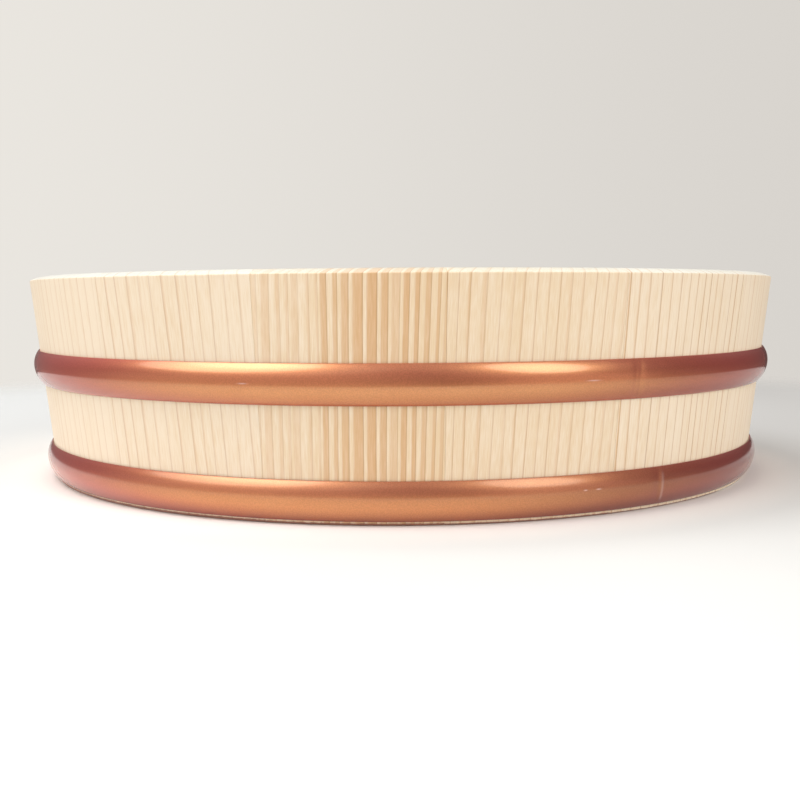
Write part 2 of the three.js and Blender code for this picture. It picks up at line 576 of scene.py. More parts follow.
@dataclass(frozen=True)
class CopperFinish:
    """Copper-coloured pearl under a clear glossy skin.

    Golden flakes show face on, over a deep red body that takes over at a slant, as such pearl does. The
    top reflection span, the lower shade span and the right shade face are heights from the hoop's middle.
    Over paints reflection on the top of the face, and shade there on the lower hoop; under and right shade
    paint shade below it. A glint is a painted reflection, with its angle, its height over the middle and
    half its length.
    """

    name: str
    wall: Wall
    middle: float
    seam: float
    glints: tuple[tuple[float, float, float], ...]
    gold: Colour = (0.90, 0.515, 0.18, 1.0)
    orange: Colour = (0.85, 0.455, 0.15, 1.0)
    body: Colour = (0.56, 0.115, 0.08, 1.0)
    # over is painted reflection: the top of the face lightens and cools as if mirroring a pale room. On the
    # lower hoop it is painted shade that dims the top.
    over: Colour = (1.03, 1.01, 1.17, 1.0)
    # under is painted shade: the lower face darkens towards its bottom edge.
    under: Colour = (0.82, 0.77, 0.75, 1.0)
    # right_shade is painted shade: the lower face darkens towards the right, away from the light.
    right_shade: Colour = (0.92, 0.91, 0.93, 1.0)
    flake_dim: Colour = (0.935, 0.93, 0.925, 1.0)
    flake_bright: Colour = (1.065, 1.07, 1.075, 1.0)
    # weld_and_glint is the pale colour of the weld and of the painted glints.
    weld_and_glint: Colour = (0.95, 0.76, 0.66, 1.0)
    top_reflection_span: Span = (0.0004, 0.004)
    lower_shade_span: Span = (0.001, 0.0055)
    right_shade_face: Span = (-0.006, -0.001)
    right_shade_side: Span = (0.045, 0.08)
    cloud_scale: float = 60.0
    cloud_swing: float = 0.8
    smear_scale: float = 200.0
    smear: float = 0.06
    flake_scale: float = 2800.0
    flake_span: Span = (0.3, 0.7)
    gold_roughness: float = 0.31
    body_roughness: float = 0.55
    body_metal: float = 0.72
    body_least: float = 0.48
    body_most: float = 0.95
    slant: Span = (0.15, 0.72)
    coat_roughness: float = 0.10
    coat_ior: float = 1.5
    seam_pale: float = 0.0
    seam_width: float = 0.0005
    seam_face: Span = (0.0012, 0.0022)
    glint_share: float = 0.8
    glint_width: float = 0.00016

    def weld_and_glints(self, x: Value, y: Value, z: Value) -> Value:
        """Mark the pale weld and the painted glints.

        Args:
            x: how far right a place is.
            y: how far back it is.
            z: its height over the table.

        Returns:
            How much of the pale colour of the weld and the glints the place shows.
        """
        turn = x.azimuth(y)
        bulge = x.hypot(y) - z * self.wall.slope() - self.wall.foot_radius
        aside = (turn - math.radians(self.seam)) * self.wall.foot_radius + bulge * SEAM_SKEW
        pale = aside.bell(self.seam_width) * bulge.step(*self.seam_face) * self.seam_pale
        # Painted glints: thin bright reflections of small things in the room, in the clear skin.
        for angle, height, half_length in self.glints:
            along = (turn - math.radians(angle)) * self.wall.foot_radius
            mark = along.bell(half_length) * (z - self.middle - height).bell(self.glint_width)
            pale = pale + mark * self.glint_share
        return pale

    def material(self) -> bpy.types.Material:
        """Mix the material.

        Returns:
            The material.
        """
        nodes = Surface(self.name)
        place = nodes.place()
        x, y, z = place.parts()
        speckle = nodes.noise(place, self.flake_scale, 1.0).step(*self.flake_span)
        cloud = (nodes.noise(place, self.cloud_scale, 3.0) - 0.5) * self.cloud_swing + 0.5
        flakes = nodes.mix(cloud.step(0.0, 1.0), self.gold, self.orange)
        ground: Paint = self.body
        for tint, share in (
            # Painted shade on the lower face.
            (self.under, (self.middle - z).step(*self.lower_shade_span)),
            # Painted reflection on the top of the face; painted shade there on the lower hoop.
            (self.over, (z - self.middle).step(*self.top_reflection_span)),
            # Painted shade on the right of the lower face.
            (self.right_shade, x.step(*self.right_shade_side) * (self.middle - z).step(*self.right_shade_face)),
            (nodes.mix(speckle, self.flake_dim, self.flake_bright), 1.0),
        ):
            flakes = nodes.tint(flakes, tint, share)
            ground = nodes.tint(ground, tint, share)
        pale = self.weld_and_glints(x, y, z)
        skin = {"Coat Weight": 1.0, "Coat Roughness": self.coat_roughness, "Coat IOR": self.coat_ior}
        smear = nodes.noise(place, self.smear_scale) - 0.5
        golden = skin | {
            "Base Color": nodes.mix(pale, flakes, self.weld_and_glint),
            "Roughness": self.gold_roughness + smear * self.smear,
            "Metallic": 1.0,
        }
        deep = skin | {
            "Base Color": nodes.mix(pale, ground, self.weld_and_glint),
            "Roughness": self.body_roughness,
            "Metallic": self.body_metal,
        }
        facing = nodes.node("ShaderNodeLayerWeight", inputs={"Blend": 0.5}, output="Facing")
        share = self.body_least + facing.step(*self.slant) * (self.body_most - self.body_least)
        return nodes.finished(nodes.blended(share, nodes.principled(golden), nodes.principled(deep)))


@dataclass(frozen=True)
class PaperFinish:
    """The plain pale surface that the tub stands on, which fades out into the backdrop, with painted light
    near the tub and a painted shadow to its right.

    Spans of a side run along X and the front's along Y. The others are distances from the tub's axis.
    """

    colour: Colour = (0.655, 0.67, 0.675, 1.0)
    shade: Colour = (0.635, 0.648, 0.652, 1.0)
    # lit, dim and the contact light are painted light and painted shadow on the floor.
    lit: Colour = (0.75, 0.76, 0.755, 1.0)
    dim: Colour = (0.77, 0.745, 0.73, 1.0)
    contact_light: Colour = (0.93, 0.905, 0.89, 1.0)
    contact_light_left: Colour = (0.98, 0.955, 0.94, 1.0)
    cloud_scale: float = 6.0
    near: Span = (0.14, 0.22)
    lit_side: Span = (-0.08, 0.04)
    front: Span = (-0.20, -0.11)
    lit_front_share: float = 0.7
    contact_light_span: Span = (0.127, 0.155)
    contact_light_side: Span = (-0.09, 0.02)
    dim_side: Span = (0.04, 0.24)
    fade: Span = (0.36, 0.52)

    def material(self) -> bpy.types.Material:
        """Mix the material.

        Returns:
            The material.
        """
        nodes = Surface("plain paper")
        place = nodes.place()
        x, y, _ = place.parts()
        reach = x.hypot(y)
        colour = nodes.mix(nodes.noise(place, self.cloud_scale), self.colour, self.shade)
        # Painted light: the floor is lighter near the tub on the left and towards the front.
        lit = (1.0 - reach.step(*self.near)) * (1.0 - x.step(*self.lit_side))
        colour = nodes.mix(lit, colour, self.lit)
        colour = nodes.mix((1.0 - y.step(*self.front)) * self.lit_front_share, colour, self.lit)
        # Painted light round the foot, most on the left, lifting the contact shadow.
        contact_light = nodes.mix(x.step(*self.contact_light_side), self.contact_light_left, self.contact_light)
        colour = nodes.mix(1.0 - reach.step(*self.contact_light_span), colour, contact_light)
        # Painted shadow: the floor darkens towards the right, where the tub's shadow falls.
        colour = nodes.tint(colour, self.dim, x.step(*self.dim_side))
        matt = nodes.node("ShaderNodeBsdfDiffuse", inputs={"Color": colour})
        clear = nodes.node("ShaderNodeBsdfTransparent")
        return nodes.finished(nodes.blended(reach.step(*self.fade), matt, clear))


@dataclass(frozen=True)
class RoomFinish:
    """The dim room that the hoops mirror: brightest to the front left and dark to the right and behind.

    Spans are parts of a direction of length 1. Those of the glows say how nearly it points at them.
    """

    dark: Colour = (0.055, 0.055, 0.055, 1.0)
    front: Colour = (0.15, 0.11, 0.11, 1.0)
    left: Colour = (0.10, 0.09, 0.09, 1.0)
    above: Colour = (0.17, 0.17, 0.18, 1.0)
    behind: Colour = (0.20, 0.18, 0.18, 1.0)
    glow: Colour = (0.48, 0.31, 0.30, 1.0)
    front_span: Span = (-0.1, 0.4)
    left_span: Span = (-0.2, 0.5)
    above_span: Span = (0.45, 0.95)
    behind_span: Span = (0.0, 0.7)
    behind_height: Span = (0.1, 0.5)
    left_glow: float = -33.0
    left_glow_span: Span = (0.7, 0.95)
    left_share: float = 0.5
    right_glow: float = 37.0
    right_glow_span: Span = (0.89, 0.99)

    def towards(self, way: Value, azimuth: float) -> Value:
        """Return how nearly a direction points level at an azimuth, 1 where it does."""
        turn = math.radians(azimuth)
        return way.dot((math.sin(turn), -math.cos(turn), 0.0))

    def material(self) -> bpy.types.Material:
        """Mix the material.

        Returns:
            The material.
        """
        nodes = Surface("dim room")
        way = nodes.node("ShaderNodeVectorMath", {"operation": "NORMALIZE"}, {0: nodes.place()})
        side, depth, height = way.parts()
        left_glow = self.towards(way, self.left_glow).step(*self.left_glow_span)
        colour: Paint = self.dark
        for share, light in (
            ((-depth).step(*self.front_span), self.front),
            ((-side).step(*self.left_span), self.left),
            (height.step(*self.above_span), self.above),
            (depth.step(*self.behind_span) * height.step(*self.behind_height), self.behind),
            (left_glow * self.left_share, self.glow),
            (self.towards(way, self.right_glow).step(*self.right_glow_span), self.glow),
        ):
            colour = nodes.mix(share, colour, light, "ADD")
        material = nodes.finished(nodes.node("ShaderNodeEmission", inputs={"Color": colour}))
        material.cycles.emission_sampling = "NONE"
        return material


def in_scene(name: str, data: bpy.types.ID) -> bpy.types.Object:
    """Put a new object in the scene.

    Args:
        name: its name.
        data: its mesh, lamp or camera.

    Returns:
        The object.
    """
    thing = bpy.data.objects.new(name, data)
    bpy.context.scene.collection.objects.link(thing)
    return thing


def stand_for(piece: bpy.types.Object, node: str) -> None:
    """Put a piece in the place of a CAD node.

    Args:
        piece: the finished piece.
        node: the node that it stands for.
    """
    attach(piece, BODY)
    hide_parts(node)
    LOG.info("%s: %d faces", piece.name, len(piece.data.polygons))


def node_middle(node: str) -> Vector:
    """Return the middle of a CAD node's box."""
    low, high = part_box(node)
    return (low + high) / 2


def write_numbers(mesh: bpy.types.Mesh, name: str, numbers: np.ndarray) -> None:
    """Write an attribute on a mesh.

    Args:
        mesh: the mesh.
        name: the attribute's name.
        numbers: for each point a number, or a row of three for a vector.
    """
    kind, part = ("FLOAT_VECTOR", "vector") if numbers.ndim == 2 else ("FLOAT", "value")
    attribute = mesh.attributes.new(name, kind, "POINT")
    attribute.data.foreach_set(part, numbers.astype(np.float32).ravel())


def points_of(mesh: bpy.types.Mesh, kind: str = "co") -> np.ndarray:
    """Read the points of a mesh.

    Args:
        mesh: the mesh.
        kind: "co" for their places or "normal" for their normals.

    Returns:
        A row of three numbers for each point.
    """
    points = np.zeros(len(mesh.vertices) * 3)
    mesh.vertices.foreach_get(kind, points)
    return points.reshape(-1, 3)


@dataclass(frozen=True)
class Board:
    """How a board lay in its log, and how its grain shows.

    The pith lies on a line through the middle of the board's face, to one side of it and tilted into the
    board.

    Attributes:
        ring: the width of a year's growth.
        pith: how far the pith is from the middle of the face, to the right or to the left.
        tilt: how far the line to the pith tilts into the board, in degrees.
        lean: how far the grain leans from the board's length, in degrees.
        late: the share of late wood in a year.
        strength: how strongly the rings show.
        tone: how much darker than most the board is.
        drift: how quickly strength and tone change across the board.
        foot_shade: how high the painted shade at the foot reaches.
        seed: picks the board's chances.
    """

    strength_drift: ClassVar[float] = 0.45
    tone_drift: ClassVar[float] = 0.25
    seed_step: ClassVar[float] = 0.0137
    ring: float = 0.003
    pith: float = 0.16
    tilt: float = 25.0
    lean: float = 0.0
    late: float = 0.3
    strength: float = 0.8
    tone: float = 0.0
    drift: float = 0.0
    foot_shade: float = 0.0005
    seed: int = 0

    @staticmethod
    def any_of(draw: random.Random) -> Board:
        """Draw a board like the others.

        Args:
            draw: where chance comes from.

        Returns:
            The board.
        """
        return Board(
            ring=draw.uniform(0.0024, 0.0040),
            pith=draw.choice((-1, 1)) * draw.uniform(0.12, 0.24),
            tilt=draw.uniform(-40, 40),
            lean=draw.uniform(-1.5, 1.5),
            late=draw.uniform(0.16, 0.42),
            strength=draw.uniform(0.5, 0.9),
            tone=draw.uniform(-0.25, 0.25),
            seed=draw.randrange(4000),
        )

    def lay(self, mesh: bpy.types.Mesh, place: np.ndarray, end: np.ndarray) -> None:
        """Write the board's grain on a mesh.

        Args:
            mesh: the mesh of the board.
            place: each point's place across the board's face, its height over the face and its place along.
            end: how much of the end grain each point shows, from 0 to 1.
        """
        tilt = math.radians(self.tilt)
        lean = math.tan(math.radians(self.lean))
        across = place[:, 0] - lean * place[:, 2] - self.pith * math.cos(tilt)
        deep = place[:, 1] + abs(self.pith) * math.sin(tilt)
        one = np.ones(len(place))
        drift = place[:, 0] * self.drift
        strength = self.strength * (1 + drift * self.strength_drift)
        tone = self.tone + drift * self.tone_drift
        write_numbers(mesh, "grain", np.column_stack((across, deep, place[:, 2])))
        write_numbers(mesh, "rings", np.column_stack((one / self.ring, one * self.late, strength)))
        write_numbers(mesh, "board", np.column_stack((tone, one * self.seed * self.seed_step, end)))
        # The foot attribute: how far each point lies below the top of the painted shade at the foot.
        write_numbers(mesh, "foot", self.foot_shade - points_of(mesh)[:, 2])


@dataclass(frozen=True)
class Wall:
    """Sizes of the side wall that the staves make together, and of the joints between its boards."""

    height: float = 0.070
    rim_radius: float = 0.135
    foot_radius: float = 0.1275
    thickness: float = 0.011
    crown: float = 0.0014
    groove_depth: float = 0.0035
    hole_radius: float = 0.00165
    hole_length: float = 0.0183

    def slope(self) -> float:
        """Return how much the radius grows for each unit of height."""
        return (self.rim_radius - self.foot_radius) / (self.height - self.crown)

    def outer(self, z: float | np.ndarray) -> float | np.ndarray:
        """Return the radius of the outer face at a height."""
        return self.foot_radius + self.slope() * z

    def hole_sizes(self, dowel: Vector) -> dict[str, float]:
        """Return the sizes of the holes for dowels like the one with this middle."""
        return {"Hole Height": dowel.z, "Hole Radius": self.hole_radius, "Hole Length": self.hole_length}


class StaveShape(Shaper):
    """The rule for every stave: the wall's section, swept through the stave's share of the ring."""

    crown_steps: ClassVar[int] = 12
    sweep_points: ClassVar[int] = 25
    corner_points: ClassVar[int] = 5
    sizes: ClassVar[tuple[str, ...]] = (
        "From", "To", "Height", "Rim Radius", "Foot Radius", "Wall", "Crown", "Rim Round", "Foot Round",
        "Groove Base", "Groove Top", "Groove Depth", "Hole Reach", "Hole Height", "Hole Radius",
        "Hole Length",
    )

    def __init__(self, material: bpy.types.Material) -> None:
        """Build the tree for staves of a material."""
        super().__init__("stave", self.sizes)
        self.close(self.drilled(self.bent(self.section()), self.holes()), material)

    def inner(self, z: Operand) -> Value:
        """Return the radius of the inner face at a height."""
        rim, foot, height, crown = map(self.size, ("Rim Radius", "Foot Radius", "Height", "Crown"))
        return foot - self.size("Wall") + (rim - foot) / (height - crown) * z

    def section(self) -> Value:
        """Draw the wall's section, with radii along X and heights down Y.

        Returns:
            Its outline.
        """
        rim, wall, height, crown = map(self.size, ("Rim Radius", "Wall", "Height", "Crown"))
        corners: list[tuple[Operand, Operand, Operand]] = []
        for step in range(self.crown_steps + 1):
            across = 2 * step / self.crown_steps - 1
            edge = self.size("Rim Round") if abs(across) == 1 else 0.0
            corners.append((rim - wall * ((1 + across) / 2), height - crown * across**2, edge))
        top, base, depth, foot = map(self.size, ("Groove Top", "Groove Base", "Groove Depth", "Foot Round"))
        corners += [
            (self.inner(top), top, 0.0),
            (self.inner(top) + depth, top, 0.0),
            (self.inner(base) + depth, base, 0.0),
            (self.inner(base), base, 0.0),
            (self.inner(0.0), 0.0, foot),
            (self.size("Foot Radius"), 0.0, foot),
        ]
        places = [self.vector(radius, -z, 0.0) for radius, z, _ in corners]
        outline = self.loop(len(corners), self.choose("VECTOR", places))
        edges = self.choose("FLOAT", [edge for _, _, edge in corners])
        return self.rounded(outline, edges, self.corner_points)

    def bent(self, section: Value) -> Value:
        """Sweep a section straight along Y by the angle, and then bend it round the axis.

        Args:
            section: the outline to sweep.

        Returns:
            The stave without holes.
        """
        start, end = (self.vector(0.0, self.size(name), 0.0) for name in ("From", "To"))
        inputs = {"Start": start, "End": end}
        line = self.node("GeometryNodeCurvePrimitiveLine", {"mode": "POINTS"}, inputs)
        inputs = {"Curve": line, "Count": self.sweep_points}
        path = self.node("GeometryNodeResampleCurve", {"mode": "COUNT"}, inputs)
        inputs = {"Curve": path, "Profile Curve": section, "Fill Caps": True}
        straight = self.node("GeometryNodeCurveToMesh", inputs=inputs)
        place = self.around(*self.node("GeometryNodeInputPosition").parts())
        return self.node("GeometryNodeSetPosition", inputs={"Geometry": straight, "Position": place})

    def holes(self) -> list[Value]:
        """Shape the hole for a dowel in each joint face.

        Returns:
            The holes as solids.
        """
        holes = []
        for angle in map(self.size, ("From", "To")):
            place = self.around(self.size("Hole Reach"), angle, self.size("Hole Height"))
            holes.append(self.hole(place, angle - math.pi / 2))
        return holes


@dataclass
class StaveRing:
    """The staves of the side wall."""

    wall: Wall
    wood: bpy.types.Material
    groove_base: float = 0.01185
    groove_top: float = 0.02015
    rim_round: float = 0.0004
    foot_round: float = 0.0008
    joint_gap: float = 0.00004
    eased: float = 0.00008
    count: int = 16
    seed: int = 5
    # The boards that show in front. foot_shade gives how high the painted shade at each foot reaches,
    # highest on the left.
    front: Mapping[int, Board] = field(
        default_factory=lambda: {
            15: Board(0.0034, -0.16, 20, 0.3, 0.12, 0.3, -0.4, foot_shade=0.0011, seed=15),
            16: Board(0.00407, -0.153, 9.3, -0.6, 0.149, 0.31, -0.41, foot_shade=0.0010, seed=135),
            1: Board(0.00413, 0.178, 19.2, -1.4, 0.114, 0.5, -0.2, foot_shade=0.0010, seed=1979),
            2: Board(0.00274, -0.197, 18.1, 1.2, 0.45, 0.82, 0.1, drift=30, foot_shade=0.00088, seed=116),
            3: Board(0.00306, -0.205, 24.9, 1.6, 0.181, 0.52, 0.06, drift=-19, foot_shade=0.00074, seed=3726),
            4: Board(0.00369, -0.17, 9.1, 0, 0.117, 0.9, -0.19, foot_shade=0.00058, seed=1184),
            5: Board(0.0033, -0.17, 15, 0.4, 0.14, 0.4, -0.25, foot_shade=0.0003, seed=5),
        }
    )

    def joint(self, number: int) -> float:
        """Return the angle of the joint where a stave starts, from the dowel that sits in it."""
        middle = node_middle(f"stave_dowel_{(number - 1) % self.count + 1:02d}")
        return math.atan2(middle.x, -middle.y)

    def build(self) -> None:
        """Make every stave with its grain."""
        shape = StaveShape(self.wood)
        draw = random.Random(self.seed)
        dowel = node_middle("stave_dowel_01")
        inset = self.joint_gap / 2 / self.wall.rim_radius
        sizes = self.wall.hole_sizes(dowel) | {
            "Height": self.wall.height, "Wall": self.wall.thickness, "Crown": self.wall.crown,
            "Rim Radius": self.wall.rim_radius, "Foot Radius": self.wall.foot_radius,
            "Rim Round": self.rim_round, "Foot Round": self.foot_round, "Groove Base": self.groove_base,
            "Groove Top": self.groove_top, "Groove Depth": self.wall.groove_depth,
            "Hole Reach": dowel.xy.length,
        }
        for number in range(1, self.count + 1):
            start = self.joint(number)
            end = start + (self.joint(number + 1) - start) % math.tau
            name = f"stave_{number:02d}"
            ends = {"From": start + inset, "To": end - inset}
            piece = shape.make(f"{name}_planed", sizes | ends, self.eased)
            chance = Board.any_of(draw)
            self.lay(piece.data, (start + end) / 2, self.front.get(number, chance))
            stand_for(piece, name)

    def lay(self, mesh: bpy.types.Mesh, middle: float, board: Board) -> None:
        """Lay a board's grain along a stave.

        Args:
            mesh: the stave's mesh.
            middle: the angle of the stave's middle.
            board: the board that it was split from.
        """
        x, y, z = points_of(mesh).T
        turn = (np.arctan2(x, -y) - middle + math.pi) % math.tau - math.pi
        across = self.wall.outer(self.wall.height / 2) * turn
        place = np.column_stack((across, np.hypot(x, y) - self.wall.outer(z), z))
        board.lay(mesh, place, points_of(mesh, "normal")[:, 2] ** 2)


class PlankShape(Shaper):
    """The rule for every plank of the bottom: a strip of the round board."""

    sides: ClassVar[int] = 192
    sizes: ClassVar[tuple[str, ...]] = (
        "Front", "Back", "Rise", "Tongue Base", "Top", "Flat Radius", "Mouth Radius", "Tongue Low Radius",
        "Tongue High Radius", "Hole Spread", "Hole Height", "Hole Radius", "Hole Length",
    )

    def __init__(self, material: bpy.types.Material) -> None:
        """Build the tree for planks of a material.

        Args:
            material: the material.
        """
        super().__init__("plank", self.sizes)
        plank = self.combined("INTERSECT", [self.board(), self.strip()])
        self.close(self.drilled(plank, self.holes()), material)

    def slice(self, low_radius: str, high_radius: str, base: str, top: str) -> Value:
        """Shape a round slice of the board.

        Args:
            low_radius: the size that gives its radius below.
            high_radius: the size that gives its radius above.
            base: the size that gives where it starts.
            top: the size that gives where it ends.

        Returns:
            The slice.
        """
        inputs = {
            "Vertices": self.sides,
            "Radius Bottom": self.size(low_radius),
            "Radius Top": self.size(high_radius),
            "Depth": self.size(top) - self.size(base),
        }
        cone = self.node("GeometryNodeMeshCone", inputs=inputs)
        return self.moved(cone, self.vector(0.0, 0.0, self.size(base)))

    def board(self) -> Value:
        """Shape the whole round board: the bevelled underside and the tongue.

        Returns:
            The board.
        """
        under = self.slice("Flat Radius", "Mouth Radius", "Rise", "Tongue Base")
        tongue = self.slice("Tongue Low Radius", "Tongue High Radius", "Tongue Base", "Top")
        return self.combined("UNION", [under, tongue])

    def strip(self) -> Value:
        """Shape the block that one plank is kept from.

        Returns:
            The block.
        """
        front, back = map(self.size, ("Front", "Back"))
        block = self.node("GeometryNodeMeshCube", inputs={"Size": self.vector(1.0, back - front, 1.0)})
        return self.moved(block, self.vector(0.0, (front + back) * 0.5, 0.0))

    def holes(self) -> list[Value]:
        """Shape the holes for the dowels in both joint faces.

        Returns:
            The holes as solids.
        """
        holes = []
        for side in map(self.size, ("Front", "Back")):
            for way in (-1.0, 1.0):
                place = self.vector(self.size("Hole Spread") * way, side, self.size("Hole Height"))
                holes.append(self.hole(place))
        return holes


@dataclass
class Bottom:
    """The planks of the round bottom board."""

    wall: Wall
    wood: bpy.types.Material
    count: int = 4
    rise: float = 0.008
    tongue_base: float = 0.012
    top: float = 0.020
    bevel: float = 0.014
    clearance: float = 0.00015
    joint_gap: float = 0.00006
    eased: float = 0.00012
    seed: int = 11

    def joints(self) -> list[float]:
        """Find where the planks meet.

        Returns:
            The joints from the front to the back, with the ends of the board.
        """
        boxes = [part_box(f"bottom_plank_{number}") for number in range(1, self.count + 1)]
        middles = [(front[1].y + back[0].y) / 2 for front, back in zip(boxes, boxes[1:])]
        return [-self.wall.rim_radius, *middles, self.wall.rim_radius]

    def build(self) -> None:
        """Make every plank with its grain."""
        shape = PlankShape(self.wood)
        draw = random.Random(self.seed)
        joints = self.joints()
        dowel = node_middle("bottom_dowel_2")
        mouth = self.wall.outer(self.tongue_base) - self.wall.thickness - self.clearance
        reach = self.wall.groove_depth - self.clearance - self.wall.thickness
        sizes = self.wall.hole_sizes(dowel) | {
            "Rise": self.rise, "Tongue Base": self.tongue_base, "Top": self.top, "Hole Spread": dowel.x,
            "Flat Radius": mouth - self.bevel, "Mouth Radius": mouth,
            "Tongue Low Radius": self.wall.outer(self.tongue_base) + reach,
            "Tongue High Radius": self.wall.outer(self.top) + reach,
        }
        for number, (front, back) in enumerate(zip(joints, joints[1:]), 1):
            name = f"bottom_plank_{number}"
            ends = {"Front": front + self.joint_gap / 2, "Back": back - self.joint_gap / 2}
            piece = shape.make(f"{name}_planed", sizes | ends, self.eased)
            place = points_of(piece.data)[:, [1, 2, 0]] - ((front + back) / 2, self.top, 0.0)
            Board.any_of(draw).lay(piece.data, place, points_of(piece.data, "normal")[:, 0] ** 2)
            stand_for(piece, name)


class HoopShape(Shaper):
    """The rule for both hoops: a half-round section carried round the wall, with a weld across it."""

    path_points: ClassVar[int] = 1000
    face_steps: ClassVar[int] = 20
    corner_points: ClassVar[int] = 4
    crowding: ClassVar[float] = 0.86
    weld_width: ClassVar[float] = 0.0007
    dip_width: ClassVar[float] = 0.0016
    wave_scale: ClassVar[float] = 38.0
    sizes: ClassVar[tuple[str, ...]] = (
        "Radius", "Middle", "Height", "Thickness", "Slope", "Edge Round", "Seam", "Weld Rise", "Weld Dip",
        "Dip Side", "Unevenness",
    )

    def __init__(self, material: bpy.types.Material) -> None:
        """Build the tree for hoops of a material.

        Args:
            material: the material.
        """
        super().__init__("hoop", self.sizes)
        inputs = {"Curve": self.path(), "Profile Curve": self.section()}
        band = self.node("GeometryNodeCurveToMesh", inputs=inputs)
        band = self.moved(band, self.vector(0.0, 0.0, self.size("Middle")))
        self.close(self.welded(band), material)

    def path(self) -> Value:
        """Draw the circle that the section follows, with its points crowded together at the weld.

        Returns:
            The circle.
        """
        share = self.node("GeometryNodeInputIndex") * (math.tau / self.path_points)
        angle = self.size("Seam") + share - share.sin() * self.crowding
        return self.loop(self.path_points, self.around(self.size("Radius"), angle, 0.0))

    def section(self) -> Value:
        """Draw the section, a round face on a flat back, with radii along X and heights down Y.

        Returns:
            Its outline.
        """
        index = self.node("GeometryNodeInputIndex")
        half, thickness = self.size("Height") * 0.5, self.size("Thickness")
        curve = (half * half + thickness * thickness) / (thickness * 2.0)
        turn = (1.0 - index * (2 / self.face_steps)) * half.math("ARCSINE", half / curve)
        rise = turn.sin() * curve
        bulge = thickness - (1.0 - turn.cos()) * curve
        place = self.vector(bulge + rise * self.size("Slope"), -rise, 0.0)
        first = index.math("COMPARE", index, 0.0, 0.5)
        last = index.math("COMPARE", index, float(self.face_steps), 0.5)
        edges = (first + last) * self.size("Edge Round")
        return self.rounded(self.loop(self.face_steps + 1, place), edges, self.corner_points)

    def welded(self, band: Value) -> Value:
        """Give a hoop its weld and the slight unevenness of bent stock.

        Args:
            band: the even hoop.

        Returns:
            The hoop.
        """
        here = self.node("GeometryNodeInputPosition")
        x, y, z = here.parts()
        radius, thickness = map(self.size, ("Radius", "Thickness"))
        reach = x.hypot(y)
        back = radius + (z - self.size("Middle")) * self.size("Slope")
        bulge = (reach - back) / thickness
        aside = (x.azimuth(y) - self.size("Seam")) * radius + bulge * thickness * SEAM_SKEW
        weld = aside.bell(self.weld_width) * self.size("Weld Rise")
        dip = (aside - self.size("Dip Side")).bell(self.dip_width) * self.size("Weld Dip")
        wave = (self.noise(here, self.wave_scale, 1.0) - 0.5) * self.size("Unevenness")
        push = (weld - dip + wave) * bulge / reach
        offset = self.vector(x * push, y * push, 0.0)
        return self.node("GeometryNodeSetPosition", inputs={"Geometry": band, "Offset": offset})


@dataclass
class Hoop:
    """A hoop that holds the staves together.

    Its weld stands out by a rise and has a dip to one side. The trim is cut off below, and the edge loss
    is what the rounding takes off each edge.
    """

    node: str
    finish: CopperFinish
    seam: float
    weld_rise: float
    weld_dip: float
    dip_side: float
    trim: float
    height: float = 0.0117
    thickness: float = 0.0026
    fit: float = 0.0001
    edge_round: float = 0.00027
    edge_loss: float = 0.00038
    unevenness: float = 0.00016

    @staticmethod
    def upper(wall: Wall) -> Hoop:
        """Plan the upper hoop.

        Args:
            wall: the wall that it goes round.

        Returns:
            The hoop.
        """
        glints = ((23.0, 0.0003, 0.0017), (-18.6, 0.0003, 0.0011))
        finish = CopperFinish("copper pearl", wall, middle=0.03895, seam=30.2, glints=glints)
        return Hoop("upper_hoop", finish, 30.2, 0.00008, 0.00022, 0.0002, trim=0.0001)

    @staticmethod
    def lower(wall: Wall) -> Hoop:
        """Plan the lower hoop, which is duller and darker, with painted shade on its top and more on the
        right of its face.

        Args:
            wall: the wall that it goes round.

        Returns:
            The hoop.
        """
        finish = CopperFinish(
            "duller copper pearl", wall, middle=0.00675, seam=36.2, seam_pale=0.25,
            glints=((23.0, 0.0016, 0.0005), (24.9, 0.0016, 0.0007)),
            gold=(0.84, 0.475, 0.165, 1.0), orange=(0.79, 0.42, 0.137, 1.0), body=(0.52, 0.105, 0.074, 1.0),
            over=(0.90, 0.87, 1.02, 1.0), under=(0.74, 0.69, 0.68, 1.0), right_shade=(0.69, 0.65, 0.70, 1.0),
            right_shade_side=(0.01, 0.075), gold_roughness=0.37, coat_roughness=0.14,
        )
        return Hoop("lower_hoop", finish, 36.0, 0.00010, 0.00012, -0.0014, trim=0.0003)

    def build(self) -> None:
        """Make the hoop."""
        wall = self.finish.wall
        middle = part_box(self.node)[0].z + (self.height + self.trim) / 2
        sizes = {
            "Radius": wall.outer(middle) + self.fit, "Middle": middle, "Slope": wall.slope(),
            "Height": self.height - self.trim + self.edge_loss * 2, "Thickness": self.thickness,
            "Edge Round": self.edge_round, "Seam": math.radians(self.seam), "Weld Rise": self.weld_rise,
            "Weld Dip": self.weld_dip, "Dip Side": self.dip_side, "Unevenness": self.unevenness,
        }
        shape = HoopShape(self.finish.material())
        stand_for(shape.make(f"{self.node}_bent", sizes), self.node)


@dataclass
class Dowels:
    """The bamboo dowels, which keep their solids."""

    bamboo: bpy.types.Material

    def build(self) -> None:
        """Give every dowel its finish."""
        for name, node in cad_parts.items():
            if "dowel" in name:
                for slot in node.material_slots:
                    slot.material = self.bamboo
                LOG.info("%s: %s", name, self.bamboo.name)


